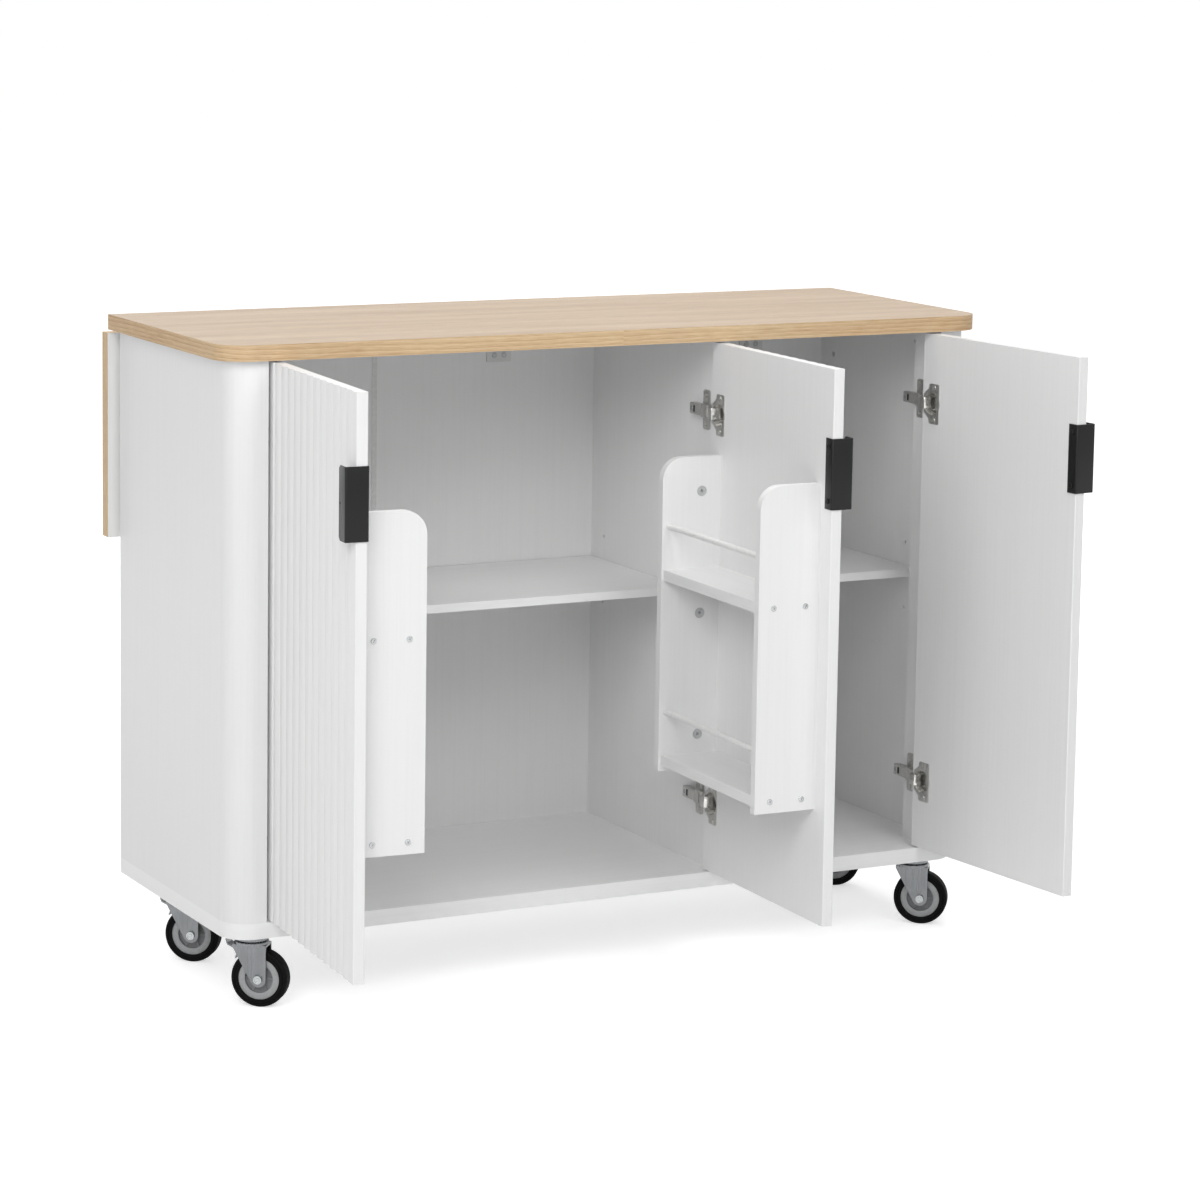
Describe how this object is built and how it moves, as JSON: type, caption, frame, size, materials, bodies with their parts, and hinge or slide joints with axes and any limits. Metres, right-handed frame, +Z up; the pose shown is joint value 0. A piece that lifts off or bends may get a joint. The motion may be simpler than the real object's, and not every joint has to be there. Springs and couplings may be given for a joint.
{
  "type": "drop leaf kitchen island",
  "caption": "Rolling kitchen island with fluted doors, door racks, shelved compartments and a folding drop leaf along the back.",
  "frame": {"origin": "middle of the footprint on the floor, with the doors standing open and the leaf hanging", "axes": "+Z up, +X along the worktop to the right as seen from the doors, +Y from the doors towards the drop leaf"},
  "size_m": [1.2, 0.7922, 0.92],
  "materials": {
    "oak_board": "satin oak",
    "white_board": "satin white board",
    "white_door": "satin white paint",
    "white_plastic": "satin",
    "white_metal": "satin white paint",
    "nickel": "nickel plate",
    "zinc": "zinc plate",
    "black_metal": "matt black coat",
    "black_tyre": "matt",
    "grey_hub": "matt grey"
  },
  "bodies": {
    "island": {"worktop": "oak_board", "bottom_board": "white_board", "corner_post_left": "white_board", "side_board_left": "white_board", "corner_post_right": "white_board", "side_board_right": "white_board", "partition": "white_board", "back_board_left": "white_board", "back_board_right": "white_board", "back_joining_strip": "white_plastic", "shelf_left": "white_board", "shelf_right": "white_board", "shelf_pins": "nickel", "worktop_brackets": "white_metal", "door_hinge_arms": "nickel", "leaf_hinge_fixed_plates": "zinc", "leaf_strut_wall_plates": "zinc", "caster_plates": "zinc"},
    "left_door": {"door_left": "white_door", "door_left_hinge_cups": "nickel", "door_left_pull": "black_metal", "rack_left_hinge_side": "white_board", "rack_left_free_side": "white_board", "rack_left_shelves": "white_board", "rack_left_rails": "white_metal", "door_left_fasteners": "zinc"},
    "left_hinge_links": {"door_left_hinge_links": "nickel"},
    "middle_door": {"door_middle": "white_door", "door_middle_hinge_cups": "nickel", "door_middle_pull": "black_metal", "rack_middle_hinge_side": "white_board", "rack_middle_free_side": "white_board", "rack_middle_shelves": "white_board", "rack_middle_rails": "white_metal", "door_middle_fasteners": "zinc"},
    "middle_hinge_links": {"door_middle_hinge_links": "nickel"},
    "right_door": {"door_right": "white_door", "door_right_hinge_cups": "nickel", "door_right_pull": "black_metal", "door_right_fasteners": "zinc"},
    "right_hinge_links": {"door_right_hinge_links": "nickel"},
    "leaf": {"drop_leaf": "oak_board", "leaf_hinge_moving_plates": "zinc", "leaf_strut_catches": "zinc"},
    "left_strut": {"leaf_strut_left": "zinc"},
    "right_strut": {"leaf_strut_right": "zinc"},
    "front_left_swivel": {"caster_front_left_fork": "zinc"},
    "front_left_wheel": {"caster_front_left_tyre": "black_tyre", "caster_front_left_hub": "grey_hub"},
    "front_left_brake": {"caster_front_left_pedal": "zinc"},
    "front_right_swivel": {"caster_front_right_fork": "zinc"},
    "front_right_wheel": {"caster_front_right_tyre": "black_tyre", "caster_front_right_hub": "grey_hub"},
    "back_left_swivel": {"caster_back_left_fork": "zinc"},
    "back_left_wheel": {"caster_back_left_tyre": "black_tyre", "caster_back_left_hub": "grey_hub"},
    "back_left_brake": {"caster_back_left_pedal": "zinc"},
    "back_right_swivel": {"caster_back_right_fork": "zinc"},
    "back_right_wheel": {"caster_back_right_tyre": "black_tyre", "caster_back_right_hub": "grey_hub"}
  },
  "joints": [
    {"name": "left_door_swing", "type": "hinge", "parent": "island", "child": "left_door", "pos_m": [-0.5215, -0.05223, 0.511], "axis": [0, 0, 1], "range_deg": [-3.7, 94.3]},
    {"name": "left_hinge_link_turn", "type": "hinge", "parent": "island", "child": "left_hinge_links", "pos_m": [-0.5175, -0.03673, 0.511], "axis": [0, 0, 1], "range_deg": [-2.56, 65.08]},
    {"name": "middle_door_swing", "type": "hinge", "parent": "island", "child": "middle_door", "pos_m": [0.167, -0.05223, 0.511], "axis": [0, 0, -1], "range_deg": [-9.5, 88.5]},
    {"name": "middle_hinge_link_turn", "type": "hinge", "parent": "island", "child": "middle_hinge_links", "pos_m": [0.163, -0.03673, 0.511], "axis": [0, 0, -1], "range_deg": [-6.57, 61.08]},
    {"name": "right_door_swing", "type": "hinge", "parent": "island", "child": "right_door", "pos_m": [0.5215, -0.05223, 0.511], "axis": [0, 0, -1], "range_deg": [-2.6, 95.4]},
    {"name": "right_hinge_link_turn", "type": "hinge", "parent": "island", "child": "right_hinge_links", "pos_m": [0.5175, -0.03673, 0.511], "axis": [0, 0, -1], "range_deg": [-1.8, 65.84]},
    {"name": "leaf_raise", "type": "hinge", "parent": "island", "child": "leaf", "pos_m": [0, 0.37127, 0.8952], "axis": [1, 0, 0], "range_deg": [0, 90]},
    {"name": "left_strut_swing", "type": "hinge", "parent": "island", "child": "left_strut", "pos_m": [-0.38, 0.36477, 0.78522], "axis": [1, 0, 0], "range_deg": [0, 125.1]},
    {"name": "right_strut_swing", "type": "hinge", "parent": "island", "child": "right_strut", "pos_m": [0.38, 0.36477, 0.78522], "axis": [1, 0, 0], "range_deg": [0, 125.1]},
    {"name": "front_left_caster_swivel", "type": "hinge", "parent": "island", "child": "front_left_swivel", "pos_m": [-0.535, -0.01323, 0.0927], "axis": [0, 0, 1], "continuous": true},
    {"name": "front_left_wheel_roll", "type": "hinge", "parent": "front_left_swivel", "child": "front_left_wheel", "pos_m": [-0.5249, -0.02141, 0.04], "axis": [0.6293, 0.7771, 0], "continuous": true},
    {"name": "front_left_brake_press", "type": "hinge", "parent": "front_left_swivel", "child": "front_left_brake", "pos_m": [-0.54782, -0.00285, 0.079], "axis": [-0.6293, -0.7771, 0], "range_deg": [0, 10]},
    {"name": "front_right_caster_swivel", "type": "hinge", "parent": "island", "child": "front_right_swivel", "pos_m": [0.535, -0.01323, 0.0927], "axis": [0, 0, 1], "continuous": true},
    {"name": "front_right_wheel_roll", "type": "hinge", "parent": "front_right_swivel", "child": "front_right_wheel", "pos_m": [0.5451, -0.02141, 0.04], "axis": [0.6293, 0.7771, 0], "continuous": true},
    {"name": "back_left_caster_swivel", "type": "hinge", "parent": "island", "child": "back_left_swivel", "pos_m": [-0.535, 0.23677, 0.0927], "axis": [0, 0, 1], "continuous": true},
    {"name": "back_left_wheel_roll", "type": "hinge", "parent": "back_left_swivel", "child": "back_left_wheel", "pos_m": [-0.5249, 0.22859, 0.04], "axis": [0.6293, 0.7771, 0], "continuous": true},
    {"name": "back_left_brake_press", "type": "hinge", "parent": "back_left_swivel", "child": "back_left_brake", "pos_m": [-0.54782, 0.24715, 0.079], "axis": [-0.6293, -0.7771, 0], "range_deg": [0, 10]},
    {"name": "back_right_caster_swivel", "type": "hinge", "parent": "island", "child": "back_right_swivel", "pos_m": [0.535, 0.23677, 0.0927], "axis": [0, 0, 1], "continuous": true},
    {"name": "back_right_wheel_roll", "type": "hinge", "parent": "back_right_swivel", "child": "back_right_wheel", "pos_m": [0.5451, 0.22859, 0.04], "axis": [0.6293, 0.7771, 0], "continuous": true}
  ],
  "couplings": [
    {"joint": "left_hinge_link_turn", "follows": "left_door_swing", "ratio": 0.69},
    {"joint": "middle_hinge_link_turn", "follows": "middle_door_swing", "ratio": 0.69},
    {"joint": "right_hinge_link_turn", "follows": "right_door_swing", "ratio": 0.69},
    {"joint": "left_strut_swing", "follows": "leaf_raise", "ratio": 1.3899},
    {"joint": "right_strut_swing", "follows": "leaf_raise", "ratio": 1.3899}
  ]
}
